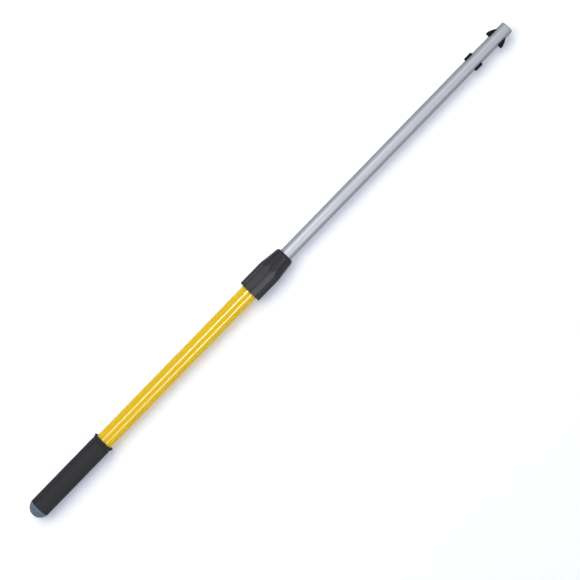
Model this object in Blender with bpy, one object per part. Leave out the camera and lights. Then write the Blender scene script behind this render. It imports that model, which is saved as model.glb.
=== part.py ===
"""Telescopic roller extension pole with a twist-lock collar and a quick-connect tip.

The pole lies along X at full length, handle at -X and tip at +X. The origin is on the floor under the
middle of the pole. Lengths are in metres. Stations along the pole are measured from the rounded end of
the handle and turned into X by station().
"""

from math import acos, atan, cos, pi, radians, sin, sqrt, tau

import bmesh
import bpy
from mathutils import Matrix, Vector

MM = 0.001
GAP = 0.3 * MM
SMALL_MERGE = 1e-6
SMOOTH_ANGLE = radians(35)

# Overall lengths, measured from the handle's rounded end
POLE_LENGTH = 956 * MM
OUTER_TUBE_START = 14.8 * MM
OUTER_TUBE_END = 450 * MM
INNER_TUBE_START = 416.3 * MM
COLLAR_START = 436.5 * MM
COLLAR_END = 509.3 * MM

# Tubes
OUTER_TUBE_RADIUS = 12.7 * MM
OUTER_TUBE_BORE = 11.5 * MM
INNER_TUBE_RADIUS = 9.525 * MM
INNER_TUBE_BORE = 8.325 * MM
TUBE_SIDES = 32
RUNNING_BORE = INNER_TUBE_RADIUS + 0.35 * MM

# Handle end
GRIP_RADIUS = 15.15 * MM
GRIP_BORE = 13.0 * MM
GRIP_END = 143.9 * MM
LIP_RADIUS = 16.7 * MM
LIP_LENGTH = 8 * MM
CAP_LENGTH = 13.1 * MM
CAP_NECK_END = 14.4 * MM
CAP_BORE_FLOOR = 17 * MM
CAP_STEM_END = 42 * MM

# Bearings, plug and rings between the tubes
GUIDE_BUSH_START = 435 * MM
GUIDE_BUSH_END = 449.4 * MM
STOP_RING_START = 430.6 * MM
STOP_RING_END = 434.6 * MM
SLIDE_BUSH_START = 416.4 * MM
SLIDE_BUSH_END = 430.2 * MM
PLUG_START = 413 * MM
PLUG_FLANGE_END = 416 * MM
PLUG_END = 430 * MM
WIPER_START = 496.5 * MM
WIPER_END = 501.8 * MM

# Lock collar: flat pads between nine flutes, along a cylinder and then a taper to a rounded nose
FLUTES = 9
RIDGE_RADIUS = 17.9 * MM
TAPER_START = 477 * MM
TAPER_END = 503 * MM
NOSE_RADIUS = 14.8 * MM
MOUTH_RADIUS = 10.3 * MM
FLUTE_SHARE = 0.30
SCALLOP_SHARE = 0.92
SCALLOP_OPENING = 10 * MM
FLUTE_DEPTH = 1.0 * MM
SCALLOP_DEPTH = 1.2 * MM

# Twist lock: cam lobes in the collar press three shoes on the inner tube
SHOES = 3
COLLAR_TURN = 60.0
SHOE_TRAVEL = 0.5 * MM
CAM_RADIUS = 13.2 * MM
LOBE_LOW_ANGLE = 24.0
LOBE_HIGH_ANGLE = -84.0
SHOE_HALF_WIDTH = 4.0 * MM
SHOE_START = 455 * MM
SHOE_END = 472 * MM
SHOE_WINDOW_MARGIN = 0.4 * MM

# Lock core, on the end of the outer tube
CORE_START = 436.9 * MM
CORE_SHOULDER = 452.9 * MM
CORE_END = 489 * MM
CORE_SKIRT_RADIUS = 14.0 * MM
CORE_RADIUS = 12.0 * MM
CLIP_START = 484.3 * MM
CLIP_END = 486.0 * MM
RIVET_STATION = 443 * MM
RIVET_RADIUS = 1.2 * MM

# Quick-connect latches, measured from the tip
LATCH_PIVOT = POLE_LENGTH - 120 * MM
LATCH_PIVOT_OFFSET = 3.4 * MM
LATCH_TURN = 3.4
LATCH_HALF_WIDTH = 4.6 * MM
ARM_OUTSIDE = 6.8 * MM
ARM_INSIDE = 0.3 * MM
ARM_TAIL = 5 * MM
BUTTON_MIDDLE = POLE_LENGTH - 68.5 * MM
BUTTON_LENGTH = 13.8 * MM
BUTTON_HEIGHT = 2.8 * MM
CATCH_BACK = POLE_LENGTH - 28.0 * MM
CATCH_KNEE = POLE_LENGTH - 24.8 * MM
CATCH_NOSE = POLE_LENGTH - 18.8 * MM
CATCH_FRONT = POLE_LENGTH - 13.8 * MM
CATCH_HEIGHT = 5.5 * MM
CATCH_KNEE_HEIGHT = 5.0 * MM
CATCH_NOSE_HEIGHT = 3.0 * MM
SPRING_STATION = POLE_LENGTH - 86 * MM
SPRING_HALF_LENGTH = 5.3 * MM
SPRING_RADIUS = 1.9 * MM
SPRING_WIRE_RADIUS = 0.25 * MM
SPRING_TURNS = 6.5
POCKET_RADIUS = 2.6 * MM
POCKET_FLOOR = 5.9 * MM
BLOCK_START = 822 * MM
BLOCK_WEB_END = 828 * MM
BLOCK_END = 848 * MM
BLOCK_RIVET_STATION = 825 * MM

# A flute is on top of the collar, so the pole rests on the flat pad below it
AXIS_HEIGHT = RIDGE_RADIUS * cos((1 - FLUTE_SHARE) * pi / FLUTES)

# Colour, roughness and metallic value of each material
YELLOW_PAINT = ((0.87, 0.58, 0.02), 0.25, 0.0)
SATIN_ALUMINIUM = ((0.62, 0.63, 0.67), 0.35, 1.0)
BLACK_RUBBER = ((0.030, 0.030, 0.034), 0.65, 0.0)
BLUE_GREY_PLASTIC = ((0.105, 0.145, 0.180), 0.45, 0.0)
CHARCOAL_PLASTIC = ((0.040, 0.040, 0.046), 0.5, 0.0)
BLACK_PLASTIC = ((0.010, 0.010, 0.012), 0.35, 0.0)
NATURAL_NYLON = ((0.70, 0.68, 0.62), 0.45, 0.0)
STEEL = ((0.55, 0.56, 0.58), 0.3, 1.0)


def station(distance):
    """X of a place that lies this far from the handle's rounded end."""
    return distance - POLE_LENGTH / 2


# ---------------------------------------------------------------- scene helpers


def clear_scene():
    for old in list(bpy.data.objects):
        bpy.data.objects.remove(old, do_unlink=True)


def add_empty(name, parent=None, location=(0, 0, 0), turn=0.0):
    """An empty whose local X stays along the pole; turn rotates it about that axis."""
    empty = bpy.data.objects.new(name, None)
    empty.empty_display_size = 0.02
    empty.location = location
    empty.rotation_euler = (turn, 0, 0)
    empty.parent = parent
    bpy.context.collection.objects.link(empty)
    return empty


def add_material(name, finish):
    colour, roughness, metallic = finish
    material = bpy.data.materials.new(name + "_material")
    material.use_nodes = True
    shader = material.node_tree.nodes["Principled BSDF"]
    shader.inputs["Base Color"].default_value = (*colour, 1)
    shader.inputs["Roughness"].default_value = roughness
    shader.inputs["Metallic"].default_value = metallic
    return material


def mesh_object(name, bm, parent, finish=None):
    """A named object from a bmesh, with its faces pointing out, shaded smooth up to SMOOTH_ANGLE."""
    bmesh.ops.remove_doubles(bm, verts=bm.verts, dist=SMALL_MERGE)
    bmesh.ops.recalc_face_normals(bm, faces=bm.faces)
    mesh = bpy.data.meshes.new(name)
    bm.to_mesh(mesh)
    bm.free()
    mesh.shade_smooth()
    mesh.set_sharp_from_angle(angle=SMOOTH_ANGLE)
    piece = bpy.data.objects.new(name, mesh)
    piece.parent = parent
    bpy.context.collection.objects.link(piece)
    if finish:
        mesh.materials.append(add_material(name, finish))
    return piece


def as_cutter(piece):
    piece.hide_render = True
    piece.display_type = "WIRE"
    return piece


def cut(piece, *cutters):
    for cutter in cutters:
        boolean = piece.modifiers.new("cut_" + cutter.name, "BOOLEAN")
        boolean.operation = "DIFFERENCE"
        boolean.object = cutter


# ---------------------------------------------------------------- shape helpers


def turned(name, outline, parent, finish=None, sides=TUBE_SIDES):
    """A solid of revolution about X from a closed outline of (station, radius) points."""
    bm = bmesh.new()
    points = [bm.verts.new((station(x), 0, r)) for x, r in outline]
    edges = [bm.edges.new((a, b)) for a, b in zip(points, points[1:] + points[:1])]
    bmesh.ops.spin(
        bm,
        geom=points + edges,
        cent=(0, 0, 0),
        axis=(1, 0, 0),
        angle=tau,
        steps=sides,
        use_merge=True,
    )
    return mesh_object(name, bm, parent, finish)


def ring(name, start, end, inside, outside, parent, finish, sides=TUBE_SIDES):
    outline = [(start, inside), (start, outside), (end, outside), (end, inside)]
    return turned(name, outline, parent, finish, sides)


def box_cutter(name, low, high, parent, turn=0.0):
    """A box between two corners, turned about X."""
    bm = bmesh.new()
    bmesh.ops.create_cube(bm, size=1)
    middle = (Vector(low) + Vector(high)) / 2
    bmesh.ops.scale(bm, vec=Vector(high) - Vector(low), verts=bm.verts)
    bmesh.ops.translate(bm, vec=middle, verts=bm.verts)
    bmesh.ops.rotate(bm, cent=(0, 0, 0), matrix=Matrix.Rotation(turn, 3, "X"), verts=bm.verts)
    return as_cutter(mesh_object(name, bm, parent))


def rod(name, start, end, radius, parent, finish=None, sides=20):
    """A round rod between two points."""
    start, end = Vector(start), Vector(end)
    bm = bmesh.new()
    bmesh.ops.create_cone(
        bm, cap_ends=True, segments=sides, radius1=radius, radius2=radius, depth=(end - start).length
    )
    facing = (end - start).to_track_quat("Z", "Y").to_matrix()
    bmesh.ops.rotate(bm, cent=(0, 0, 0), matrix=facing, verts=bm.verts)
    bmesh.ops.translate(bm, vec=(start + end) / 2, verts=bm.verts)
    return mesh_object(name, bm, parent, finish)


def drill(name, start, end, radius, parent):
    return as_cutter(rod(name, start, end, radius, parent))


def extruded(name, outline, half_width, parent, finish):
    """A plate from an outline in XY, as thick as twice half_width along Z."""
    bm = bmesh.new()
    face = bm.faces.new([bm.verts.new((x, y, -half_width)) for x, y in outline])
    grown = bmesh.ops.extrude_face_region(bm, geom=[face])["geom"]
    moved = [item for item in grown if isinstance(item, bmesh.types.BMVert)]
    bmesh.ops.translate(bm, vec=(0, 0, 2 * half_width), verts=moved)
    return mesh_object(name, bm, parent, finish)


def arc_points(centre, radius, first, last, count):
    """Points (station, radius) along an arc; angles are measured from the handle's direction."""
    step = (last - first) / (count - 1)
    turns = [first + step * i for i in range(count)]
    return [(centre - radius * cos(a), radius * sin(a)) for a in turns]


# ---------------------------------------------------------------- handle


def make_end_cap(handle):
    """Domed plug: the dome carries on the grip's round end, and the stem fits inside the tube."""
    rim_angle = acos(1 - CAP_LENGTH / GRIP_RADIUS)
    dome = arc_points(GRIP_RADIUS, GRIP_RADIUS, 0, rim_angle, 9)
    neck_radius = GRIP_BORE - 0.4 * MM
    stem_radius = OUTER_TUBE_BORE - 0.4 * MM
    stem_bore = stem_radius - 1.8 * MM
    outline = [
        *dome,
        (CAP_LENGTH, neck_radius),
        (CAP_NECK_END, neck_radius),
        (CAP_NECK_END, stem_radius),
        (CAP_STEM_END - 1.5 * MM, stem_radius),
        (CAP_STEM_END, stem_radius - 0.6 * MM),
        (CAP_STEM_END, stem_bore),
        (CAP_BORE_FLOOR, stem_bore),
        (CAP_BORE_FLOOR, 0),
    ]
    turned("end_cap", outline, handle, BLUE_GREY_PLASTIC)


def make_grip(handle):
    """Rubber sleeve: rounded at the cap, straight, and flared into a small lip at its upper end."""
    rim_angle = acos(1 - (CAP_LENGTH + GAP) / GRIP_RADIUS)
    round_end = arc_points(GRIP_RADIUS, GRIP_RADIUS, rim_angle, pi / 2, 4)
    flare = LIP_RADIUS - GRIP_RADIUS
    lip_start = GRIP_END - LIP_LENGTH
    lip = [(lip_start + LIP_LENGTH * u, GRIP_RADIUS + flare * h)
           for u, h in ((0, 0), (0.3, 0.2), (0.55, 0.65), (0.75, 1), (0.92, 0.9), (1, 0.45))]
    outline = [*round_end, *lip, (GRIP_END, GRIP_BORE), (CAP_LENGTH + GAP, GRIP_BORE)]
    turned("grip_sleeve", outline, handle, BLACK_RUBBER)


def make_outer_tube(handle, rivet_hole):
    tube = ring("outer_tube", OUTER_TUBE_START, OUTER_TUBE_END, OUTER_TUBE_BORE, OUTER_TUBE_RADIUS, handle,
                YELLOW_PAINT)
    cut(tube, rivet_hole)


def make_guide_bush(handle, rivet_hole):
    """Front bearing of the inner tube, held in the outer tube by the core's rivets."""
    outside = OUTER_TUBE_BORE - 0.35 * MM
    bush = ring("guide_bush", GUIDE_BUSH_START, GUIDE_BUSH_END, RUNNING_BORE, outside, handle, NATURAL_NYLON)
    cut(bush, rivet_hole)


def make_lock_core(handle, rivet_hole):
    """Sleeve on the outer tube's end: a skirt over the tube, shoe windows, and a groove for the clip."""
    skirt_bore = OUTER_TUBE_RADIUS + 0.35 * MM
    groove_radius = CORE_RADIUS - 0.8 * MM
    outline = [
        (CORE_START, skirt_bore),
        (CORE_START, CORE_SKIRT_RADIUS),
        (CORE_SHOULDER, CORE_SKIRT_RADIUS),
        (CORE_SHOULDER, CORE_RADIUS),
        (CLIP_START - GAP, CORE_RADIUS),
        (CLIP_START - GAP, groove_radius),
        (CLIP_END + GAP, groove_radius),
        (CLIP_END + GAP, CORE_RADIUS),
        (CORE_END, CORE_RADIUS),
        (CORE_END, RUNNING_BORE),
        (OUTER_TUBE_END + GAP, RUNNING_BORE),
        (OUTER_TUBE_END + GAP, skirt_bore),
    ]
    core = turned("lock_core", outline, handle, CHARCOAL_PLASTIC)
    half = SHOE_HALF_WIDTH + SHOE_WINDOW_MARGIN
    for number, angle in enumerate(shoe_angles(), 1):
        low = (station(SHOE_START - SHOE_WINDOW_MARGIN), -half, 0)
        high = (station(SHOE_END + SHOE_WINDOW_MARGIN), half, CORE_SKIRT_RADIUS)
        window = box_cutter(f"shoe_window_{number}", low, high, handle, turn=angle)
        cut(core, window)
    cut(core, rivet_hole)


def make_core_rivets(handle):
    for side, name in ((1, "left"), (-1, "right")):
        x = station(RIVET_STATION)
        inner = (x, side * (RUNNING_BORE + 0.4 * MM), 0)
        outer = (x, side * (CORE_SKIRT_RADIUS - 0.1 * MM), 0)
        rod(f"core_rivet_{name}", inner, outer, RIVET_RADIUS, handle, STEEL)


def make_retaining_clip(handle):
    """Open spring ring in the core's groove. It keeps the collar on the core."""
    inside = CORE_RADIUS - 0.5 * MM
    outside = CORE_RADIUS + 1.1 * MM
    clip = ring("retaining_clip", CLIP_START, CLIP_END, inside, outside, handle, STEEL)
    half_opening = 3.2 * MM
    low = (station(CLIP_START) - MM, -half_opening, 0)
    high = (station(CLIP_END) + MM, half_opening, 2 * outside)
    cut(clip, box_cutter("clip_opening", low, high, handle))


# ---------------------------------------------------------------- twist lock


def shoe_angles():
    """Angles about X of the shoes, from straight up."""
    return [tau * i / SHOES for i in range(SHOES)]


def cam_radius(angle):
    """Radius of the collar's cam at an angle from straight up, in degrees, with the collar locked.

    Each lobe is a spiral that falls by SHOE_TRAVEL over COLLAR_TURN. A short ramp joins it to the next.
    """
    pitch = 360 / SHOES
    slope = SHOE_TRAVEL / COLLAR_TURN
    local = (angle - LOBE_HIGH_ANGLE) % pitch + LOBE_HIGH_ANGLE
    low = CAM_RADIUS - slope * LOBE_LOW_ANGLE
    high = CAM_RADIUS - slope * LOBE_HIGH_ANGLE
    if local <= LOBE_LOW_ANGLE:
        return CAM_RADIUS - slope * local
    ramp = LOBE_HIGH_ANGLE + pitch - LOBE_LOW_ANGLE
    return low + (high - low) * (local - LOBE_LOW_ANGLE) / ramp


def scallop_opening(x):
    """How far the flutes have opened into scallops, from 0 before the taper to 1."""
    return min(1, max(0, (x - TAPER_START) / SCALLOP_OPENING))


def flute_share(x):
    """Share of the pitch that a flute takes: narrow along the cylinder, wide scallops on the taper."""
    return FLUTE_SHARE + (SCALLOP_SHARE - FLUTE_SHARE) * scallop_opening(x)


def flute_depth(x):
    """Depth of a flute: it fades out at both ends of the collar."""
    depth = FLUTE_DEPTH + (SCALLOP_DEPTH - FLUTE_DEPTH) * scallop_opening(x)
    nose = min(1, max(0, (COLLAR_END - x) / (COLLAR_END - TAPER_END)))
    return depth * nose


def ridge_radius(x):
    """Radius at the pads' edges: a cylinder, a straight taper and a rounded nose."""
    if x <= TAPER_START:
        return RIDGE_RADIUS
    if x <= TAPER_END:
        share = (x - TAPER_START) / (TAPER_END - TAPER_START)
        return RIDGE_RADIUS + (NOSE_RADIUS - RIDGE_RADIUS) * share
    share = (x - TAPER_END) / (COLLAR_END - TAPER_END)
    end_radius = MOUTH_RADIUS + 0.8 * MM
    return end_radius + (NOSE_RADIUS - end_radius) * sqrt(max(0, 1 - share * share))


def flute_angles(share):
    """Angles of a ring's points, in degrees from a flute's middle: eight points to each flute."""
    half_pitch = 180 / FLUTES
    marks = [0, share / 2, share, (1 + share) / 2, 1, (3 - share) / 2, 2 - share, 2 - share / 2]
    return [half_pitch * (2 * flute + mark) for flute in range(FLUTES) for mark in marks]


def fluted_ring(x):
    """Outer points of the collar at one station, as (angle in degrees, radius): hollow flutes, flat pads."""
    share = flute_share(x)
    half_pitch = 180 / FLUTES
    pad_edge = cos(radians(half_pitch * (1 - share)))
    points = []
    for angle in flute_angles(share):
        from_middle = abs((angle + half_pitch) % (2 * half_pitch) - half_pitch) / half_pitch
        if from_middle < share:
            radius = ridge_radius(x) - flute_depth(x) * (1 - (from_middle / share) ** 2)
        else:
            radius = ridge_radius(x) * pad_edge / cos(radians(half_pitch * (1 - from_middle)))
        points.append((angle, radius))
    return points


def make_lock_collar(collar):
    """Twist collar: fluted outside, with the cam and the retaining step inside."""
    edge = 0.8 * MM
    bore_stations = [
        (COLLAR_START, lambda a: CORE_SKIRT_RADIUS + 0.5 * MM),
        (CORE_SHOULDER + GAP, lambda a: CORE_SKIRT_RADIUS + 0.5 * MM),
        (SHOE_START - 1.4 * MM, cam_radius),
        (SHOE_END + 2.4 * MM, cam_radius),
        (SHOE_END + 2.8 * MM, lambda a: CORE_RADIUS + 0.4 * MM),
        (CLIP_START - 0.5 * MM, lambda a: CORE_RADIUS + 0.4 * MM),
        (CLIP_START - 0.4 * MM, lambda a: CORE_RADIUS + 1.5 * MM),
        (CORE_END + 0.6 * MM, lambda a: CORE_RADIUS + 1.5 * MM),
        (CORE_END + 0.9 * MM, lambda a: CORE_RADIUS + 0.2 * MM),
        (TAPER_END - 0.8 * MM, lambda a: CORE_RADIUS + 0.2 * MM),
        (TAPER_END - 0.7 * MM, lambda a: MOUTH_RADIUS),
        (COLLAR_END, lambda a: MOUTH_RADIUS),
    ]
    taper = TAPER_END - TAPER_START
    nose = COLLAR_END - TAPER_END
    outer_stations = [COLLAR_START + edge, 455 * MM, TAPER_START]
    outer_stations += [TAPER_START + taper * share for share in (0.12, 0.25, 0.385, 0.6, 0.8, 1)]
    outer_stations += [TAPER_END + nose * share for share in (0.4, 0.75, 0.93, 1)]

    rings = [(COLLAR_START, [(a, r - edge / 2) for a, r in fluted_ring(COLLAR_START)])]
    rings += [(x, fluted_ring(x)) for x in outer_stations]
    bore_angles = flute_angles(FLUTE_SHARE)
    rings += [(x, [(a, radius(a)) for a in bore_angles]) for x, radius in reversed(bore_stations)]

    bm = bmesh.new()
    loops = []
    for x, points in rings:
        places = [(station(x), -r * sin(radians(a)), r * cos(radians(a))) for a, r in points]
        loops.append([bm.verts.new(place) for place in places])
    for first, second in zip(loops, loops[1:] + loops[:1]):
        for i, vertex in enumerate(first):
            beside = (i + 1) % len(first)
            bm.faces.new((vertex, first[beside], second[beside], second[i]))
    mesh_object("lock_collar", bm, collar, CHARCOAL_PLASTIC)


def make_wiper_ring(collar):
    inside = RUNNING_BORE + 0.1 * MM
    outside = CORE_RADIUS - 0.2 * MM
    ring("wiper_ring", WIPER_START, WIPER_END, inside, outside, collar, BLACK_RUBBER)


def make_lock_shoes(handle):
    """Brake shoes in the core's windows: a round inner face on the tube, a spiral outer face on the cam."""
    steps = 6
    inside = RUNNING_BORE
    for number, angle in enumerate(shoe_angles(), 1):
        guide = add_empty(f"shoe_guide_{number}", handle, turn=angle)
        sides = [SHOE_HALF_WIDTH * (2 * i / steps - 1) for i in range(steps + 1)]
        inner_face = [(y, sqrt(inside**2 - y**2)) for y in sides]
        outer_face = []
        for y in reversed(sides):
            lean = -atan(y / CAM_RADIUS) * 180 / pi
            face_radius = cam_radius(lean) - GAP
            outer_face.append((y, sqrt(face_radius**2 - y**2)))
        bm = bmesh.new()
        outline = inner_face + outer_face
        end = bm.faces.new([bm.verts.new((station(SHOE_START), y, z)) for y, z in outline])
        grown = bmesh.ops.extrude_face_region(bm, geom=[end])["geom"]
        moved = [item for item in grown if isinstance(item, bmesh.types.BMVert)]
        bmesh.ops.translate(bm, vec=(SHOE_END - SHOE_START, 0, 0), verts=moved)
        mesh_object(f"lock_shoe_{number}", bm, guide, NATURAL_NYLON)


# ---------------------------------------------------------------- sliding tube


def make_slide_bush(slider):
    """Rear bearing: it slides in the outer tube, and the inner tube turns in it."""
    outside = OUTER_TUBE_BORE - 0.4 * MM
    ring("slide_bush", SLIDE_BUSH_START, SLIDE_BUSH_END, RUNNING_BORE, outside, slider, NATURAL_NYLON)


def make_inner_plug(extension):
    """Flanged plug in the inner tube's rear end. Its flange keeps the slide bush on."""
    flange = OUTER_TUBE_BORE - 0.6 * MM
    stem = INNER_TUBE_BORE - 0.35 * MM
    bore = stem - 2.2 * MM
    outline = [
        (PLUG_START, bore),
        (PLUG_START, flange),
        (PLUG_FLANGE_END, flange),
        (PLUG_FLANGE_END, stem),
        (PLUG_END, stem),
        (PLUG_END, bore),
    ]
    turned("inner_plug", outline, extension, BLACK_PLASTIC)


def make_stop_ring(extension):
    """Ring on the inner tube. It meets the guide bush when the pole is fully out."""
    inside = INNER_TUBE_RADIUS + GAP
    outside = OUTER_TUBE_BORE - 0.5 * MM
    ring("stop_ring", STOP_RING_START, STOP_RING_END, inside, outside, extension, SATIN_ALUMINIUM)


def make_inner_tube(extension, rivet_hole):
    """Thin tube with a window on each side for each button and each catch."""
    tube = ring("inner_tube", INNER_TUBE_START, POLE_LENGTH, INNER_TUBE_BORE, INNER_TUBE_RADIUS, extension,
                SATIN_ALUMINIUM)
    half = LATCH_HALF_WIDTH + 0.6 * MM
    back_margin, front_margin = 0.6 * MM, 1.0 * MM
    button = (BUTTON_MIDDLE - BUTTON_LENGTH / 2, BUTTON_MIDDLE + BUTTON_LENGTH / 2)
    catch = (CATCH_BACK, CATCH_FRONT)
    for kind, (back, front) in (("button", button), ("catch", catch)):
        for side, name in ((1, "left"), (-1, "right")):
            near, far = sorted((side * INNER_TUBE_BORE / 2, side * INNER_TUBE_RADIUS * 1.5))
            low = (station(back - back_margin), near, -half)
            high = (station(front + front_margin), far, half)
            cut(tube, box_cutter(f"{kind}_window_{name}", low, high, extension))
    cut(tube, rivet_hole)


# ---------------------------------------------------------------- quick-connect latches


def arm_inside(distance):
    """Inner face of an arm, as a distance from the pole's axis. Pressed, it lies along the axis."""
    reach = max(0, distance - LATCH_PIVOT)
    return ARM_INSIDE + reach * sin(radians(LATCH_TURN))


def latch_outline():
    """Side view of one latch arm, as (station, distance from the pole's axis)."""
    surface = INNER_TUBE_RADIUS
    button_back = BUTTON_MIDDLE - BUTTON_LENGTH / 2
    button_front = BUTTON_MIDDLE + BUTTON_LENGTH / 2
    button_top = surface + BUTTON_HEIGHT
    catch_top = surface + CATCH_HEIGHT
    chamfer = 1.2 * MM
    corner = 0.4 * MM
    tail = LATCH_PIVOT - ARM_TAIL
    return [
        (tail, ARM_INSIDE),
        (LATCH_PIVOT, ARM_INSIDE),
        (CATCH_FRONT, arm_inside(CATCH_FRONT)),
        (CATCH_FRONT, surface),
        (CATCH_NOSE, surface + CATCH_NOSE_HEIGHT),
        (CATCH_KNEE, surface + CATCH_KNEE_HEIGHT),
        (CATCH_BACK + corner, catch_top),
        (CATCH_BACK, catch_top - corner),
        (CATCH_BACK, ARM_OUTSIDE),
        (button_front, ARM_OUTSIDE),
        (button_front, button_top - chamfer),
        (button_front - chamfer, button_top),
        (button_back + chamfer, button_top),
        (button_back, button_top - chamfer),
        (button_back, ARM_OUTSIDE),
        (LATCH_PIVOT + MM, ARM_OUTSIDE),
        (tail, ARM_OUTSIDE - 1.2 * MM),
    ]


def make_latch_arm(side, name, extension):
    """One moulded arm with a button and a barbed catch. Its origin is on its pivot."""
    pivot_place = (station(LATCH_PIVOT), side * LATCH_PIVOT_OFFSET, 0)
    pivot = add_empty(f"latch_pivot_{name}", extension, pivot_place)
    outline = [(x - LATCH_PIVOT, side * (y - LATCH_PIVOT_OFFSET)) for x, y in latch_outline()]
    arm = extruded(f"latch_arm_{name}", outline, LATCH_HALF_WIDTH, pivot, BLACK_PLASTIC)
    through = 2 * LATCH_HALF_WIDTH
    pin_hole = drill(f"arm_pin_hole_{name}", (0, 0, -through), (0, 0, through), RIVET_RADIUS + GAP, pivot)
    spring_x = SPRING_STATION - LATCH_PIVOT
    pocket_mouth = (spring_x, -side * 2 * LATCH_PIVOT_OFFSET, 0)
    pocket_floor = (spring_x, side * (POCKET_FLOOR - LATCH_PIVOT_OFFSET), 0)
    pocket = drill(f"spring_pocket_{name}", pocket_mouth, pocket_floor, POCKET_RADIUS, pivot)
    cut(arm, pin_hole, pocket)


def make_latch_block(extension, rivet_hole):
    """Carrier inside the inner tube: a round block with a slot that the two arms swing in."""
    radius = INNER_TUBE_BORE - 0.4 * MM
    outline = [(BLOCK_START, 0), (BLOCK_START, radius), (BLOCK_END, radius), (BLOCK_END, 0)]
    block = turned("latch_block", outline, extension, BLACK_PLASTIC)
    half = LATCH_HALF_WIDTH + GAP
    low = (station(BLOCK_WEB_END), -2 * radius, -half)
    high = (station(BLOCK_END) + MM, 2 * radius, half)
    slot = box_cutter("block_slot", low, high, extension)
    cut(block, slot, rivet_hole)
    for side, name in ((1, "left"), (-1, "right")):
        x, y = station(LATCH_PIVOT), side * LATCH_PIVOT_OFFSET
        hole_ends = (x, y, -2 * radius), (x, y, 2 * radius)
        hole = drill(f"block_pin_hole_{name}", *hole_ends, RIVET_RADIUS + GAP, extension)
        cut(block, hole)


def make_latch_pins(extension):
    half_length = 6.3 * MM
    for side, name in ((1, "left"), (-1, "right")):
        x, y = station(LATCH_PIVOT), side * LATCH_PIVOT_OFFSET
        rod(f"pivot_pin_{name}", (x, y, -half_length), (x, y, half_length), RIVET_RADIUS, extension, STEEL)


def make_block_rivets(extension):
    x = station(BLOCK_RIVET_STATION)
    for side, name in ((1, "left"), (-1, "right")):
        inner = (x, side * 0.5 * INNER_TUBE_BORE, 0)
        outer = (x, side * (INNER_TUBE_RADIUS - 0.15 * MM), 0)
        rod(f"latch_block_rivet_{name}", inner, outer, RIVET_RADIUS, extension, STEEL)


def make_return_spring(extension):
    """Coil spring across the pole, with an end in a pocket of each arm."""
    points_per_turn = 10
    count = int(SPRING_TURNS * points_per_turn) + 1
    curve = bpy.data.curves.new("return_spring", "CURVE")
    curve.dimensions = "3D"
    curve.bevel_depth = SPRING_WIRE_RADIUS
    curve.bevel_resolution = 1
    curve.use_fill_caps = True
    spline = curve.splines.new("POLY")
    spline.points.add(count - 1)
    for i, point in enumerate(spline.points):
        turn = tau * i / points_per_turn
        along = SPRING_HALF_LENGTH * (2 * i / (count - 1) - 1)
        point.co = (SPRING_RADIUS * cos(turn), along, SPRING_RADIUS * sin(turn), 1)
    curve.materials.append(add_material("return_spring", STEEL))
    spring = bpy.data.objects.new("return_spring", curve)
    spring.parent = extension
    spring.location = (station(SPRING_STATION), 0, 0)
    bpy.context.collection.objects.link(spring)


def across(name, x, radius, reach, parent):
    """A drill along Y through the whole pole at one station."""
    return drill(name, (station(x), -reach, 0), (station(x), reach, 0), radius, parent)


def main():
    clear_scene()
    axis = add_empty("pole_axis", location=(0, 0, AXIS_HEIGHT))
    handle = add_empty("handle_axis", axis)
    collar = add_empty("collar_axis", axis)
    slider = add_empty("slide_axis", axis)
    extension = add_empty("extension_axis", slider)

    hole_radius = RIVET_RADIUS + GAP
    core_rivet_hole = across("core_rivet_hole", RIVET_STATION, hole_radius, 20 * MM, handle)
    make_end_cap(handle)
    make_grip(handle)
    make_outer_tube(handle, core_rivet_hole)
    make_guide_bush(handle, core_rivet_hole)
    make_lock_core(handle, core_rivet_hole)
    make_core_rivets(handle)
    make_retaining_clip(handle)

    make_lock_collar(collar)
    make_wiper_ring(collar)
    make_lock_shoes(handle)

    block_rivet_hole = across("block_rivet_hole", BLOCK_RIVET_STATION, hole_radius, 20 * MM, extension)
    make_slide_bush(slider)
    make_inner_plug(extension)
    make_stop_ring(extension)
    make_inner_tube(extension, block_rivet_hole)
    make_latch_block(extension, block_rivet_hole)
    make_block_rivets(extension)
    make_latch_pins(extension)
    make_latch_arm(1, "left", extension)
    make_latch_arm(-1, "right", extension)
    make_return_spring(extension)


main()
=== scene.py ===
"""Looks of the roller extension pole: fine meshes and procedural materials around its CAD frame."""

from math import acos, atan, cos, hypot, pi, radians, sin, sqrt, tau

import bmesh
import bpy
from mathutils import Matrix, Vector


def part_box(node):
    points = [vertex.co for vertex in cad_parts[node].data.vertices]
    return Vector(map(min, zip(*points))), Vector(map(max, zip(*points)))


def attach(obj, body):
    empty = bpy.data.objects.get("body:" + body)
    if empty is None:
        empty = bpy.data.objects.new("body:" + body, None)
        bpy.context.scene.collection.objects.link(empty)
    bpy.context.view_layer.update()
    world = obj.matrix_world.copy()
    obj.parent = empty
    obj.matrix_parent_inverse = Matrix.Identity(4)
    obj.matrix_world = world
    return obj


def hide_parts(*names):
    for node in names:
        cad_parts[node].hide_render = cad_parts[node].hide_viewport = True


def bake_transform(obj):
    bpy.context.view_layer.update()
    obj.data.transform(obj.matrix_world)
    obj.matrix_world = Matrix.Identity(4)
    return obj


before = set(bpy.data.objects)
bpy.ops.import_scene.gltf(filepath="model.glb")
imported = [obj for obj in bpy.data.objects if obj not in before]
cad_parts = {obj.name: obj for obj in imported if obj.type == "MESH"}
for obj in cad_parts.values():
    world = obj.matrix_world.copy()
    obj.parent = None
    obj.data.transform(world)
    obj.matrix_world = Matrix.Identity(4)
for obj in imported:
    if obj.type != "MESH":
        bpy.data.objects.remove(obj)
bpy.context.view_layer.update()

MM = 0.001

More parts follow.
